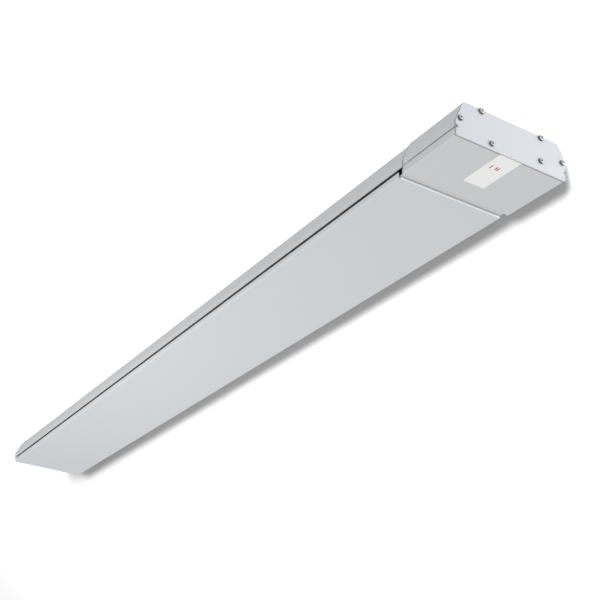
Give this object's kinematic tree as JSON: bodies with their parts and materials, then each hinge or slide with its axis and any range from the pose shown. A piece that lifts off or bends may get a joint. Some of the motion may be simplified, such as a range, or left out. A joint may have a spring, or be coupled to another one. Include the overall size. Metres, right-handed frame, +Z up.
{
  "type": "radiant strip heater",
  "caption": "Long flat ceiling-hung electric radiant strip heater with a folded steel casing, floating radiant panel and end terminal box.",
  "frame": {"origin": "centre of the four hanging inserts, on the outer face of the casing's top, at mid-length of the heater", "axes": "+X along the heater towards its terminal box, +Y across it, +Z up towards the ceiling; the radiant panel faces -Z"},
  "size_m": [1.8164, 0.1816, 0.0724],
  "materials": {
    "casing_sheet": "silver-grey satin powder coat",
    "end_plate_sheet": "pale silver satin powder coat",
    "panel_coating": "matt silver-grey high-emissivity coating on aluminium sheet",
    "dark_screws": "dark zinc-plated pan heads",
    "inner_steel": "plain galvanised sheet",
    "label_film": "white matt film",
    "ceramic": "unglazed white ceramic",
    "mineral_wool": "needled mineral wool",
    "reflector": "bright rolled foil",
    "zinc_fittings": "bright zinc plate",
    "brass_contacts": "plain brass",
    "gland_plastic": "black moulded nylon",
    "seal_rubber": "soft black rubber",
    "grey_rubber": "grey rubber and sealant",
    "cutout_plastic": "dark brown moulded phenolic",
    "lead_sleeve": "brown silicone sleeve",
    "neutral_sleeve": "blue silicone sleeve",
    "earth_sleeve": "green silicone sleeve",
    "element_sheath": "heat-darkened stainless sheath"
  },
  "bodies": {
    "housing": {"upper_casing": "casing_sheet", "terminal_box_hood": "casing_sheet", "terminal_box_cover": "casing_sheet", "near_end_plate": "end_plate_sheet", "far_end_plate": "end_plate_sheet", "end_gasket": "grey_rubber", "hood_seal": "grey_rubber", "near_end_screws": "dark_screws", "far_end_screws": "dark_screws", "hood_screw_bosses": "inner_steel", "cover_screw_bosses": "inner_steel", "far_screw_bosses": "inner_steel", "rating_label": "label_film", "bulkhead": "inner_steel", "bulkhead_bushes": "ceramic", "insulation_blanket": "mineral_wool", "reflector_sheet": "reflector", "reflector_straps": "inner_steel", "side_rail_left": "inner_steel", "side_rail_right": "inner_steel", "hanging_inserts": "zinc_fittings", "terminal_block": "ceramic", "terminal_contacts": "brass_contacts", "terminal_clamp_screws": "zinc_fittings", "terminal_block_screws": "zinc_fittings", "gland_body": "gland_plastic", "gland_locknut": "gland_plastic", "gland_seal": "seal_rubber", "gland_cap": "gland_plastic", "earth_stud": "zinc_fittings", "earth_nuts": "zinc_fittings", "earth_tag": "brass_contacts", "thermal_cutout": "cutout_plastic", "cutout_tabs": "brass_contacts", "live_feed_lead": "lead_sleeve", "earth_lead": "earth_sleeve", "live_lead": "lead_sleeve", "neutral_lead": "neutral_sleeve"},
    "panel": {"radiant_panel": "panel_coating", "heating_element": "element_sheath", "element_seals": "ceramic", "element_pins": "zinc_fittings", "pin_connectors": "brass_contacts", "element_clamps": "inner_steel", "clamp_studs": "zinc_fittings", "clamp_nuts": "zinc_fittings", "panel_hooks": "inner_steel"}
  },
  "joints": [
    {"name": "panel_float", "type": "slide", "parent": "housing", "child": "panel", "axis": [1, 0, 0], "range_m": [0, 0.008], "deforming": ["live_lead", "neutral_lead"]}
  ]
}
